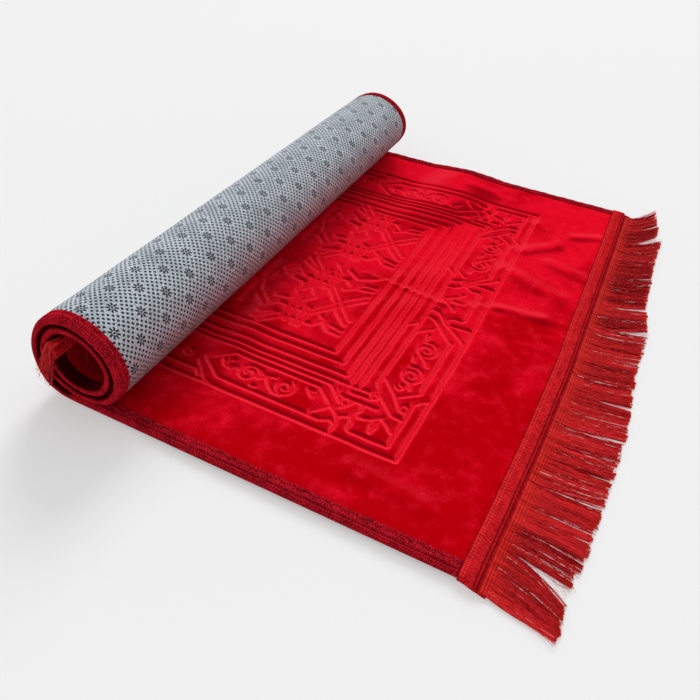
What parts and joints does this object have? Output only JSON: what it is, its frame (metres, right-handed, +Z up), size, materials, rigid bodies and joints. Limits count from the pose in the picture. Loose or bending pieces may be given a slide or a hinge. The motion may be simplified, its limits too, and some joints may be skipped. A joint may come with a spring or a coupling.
{
  "type": "prayer rug",
  "caption": "Padded velvet prayer rug with a pressed border, a dotted felt underside, woven edge tapes and fringed ends, unrolled in part and rolled up for the rest.",
  "frame": {"origin": "on the floor, under the middle of the box that holds the whole rug with its fringe", "axes": "+Z up from the floor, +Y along the axis of the roll, +X from the roll towards the fringed front end"},
  "size_m": [0.5722, 0.7476, 0.1201],
  "materials": {
    "pile_cloth": "crimson velvet pile on a foam pad",
    "grip_backing": "blue grey felt with small dark grip dots",
    "binding_near": "woven red tape",
    "binding_far": "woven red tape",
    "heading_front": "ribbed red tape",
    "heading_inner": "ribbed red tape",
    "fringe_front": "twisted red yarn",
    "fringe_inner": "twisted red yarn"
  },
  "bodies": {
    "root": {"pile_cloth": "pile_cloth", "grip_backing": "grip_backing", "binding_near": "binding_near", "binding_far": "binding_far", "heading_front": "heading_front", "heading_inner": "heading_inner", "fringe_front": "fringe_front", "fringe_inner": "fringe_inner"}
  },
  "joints": []
}
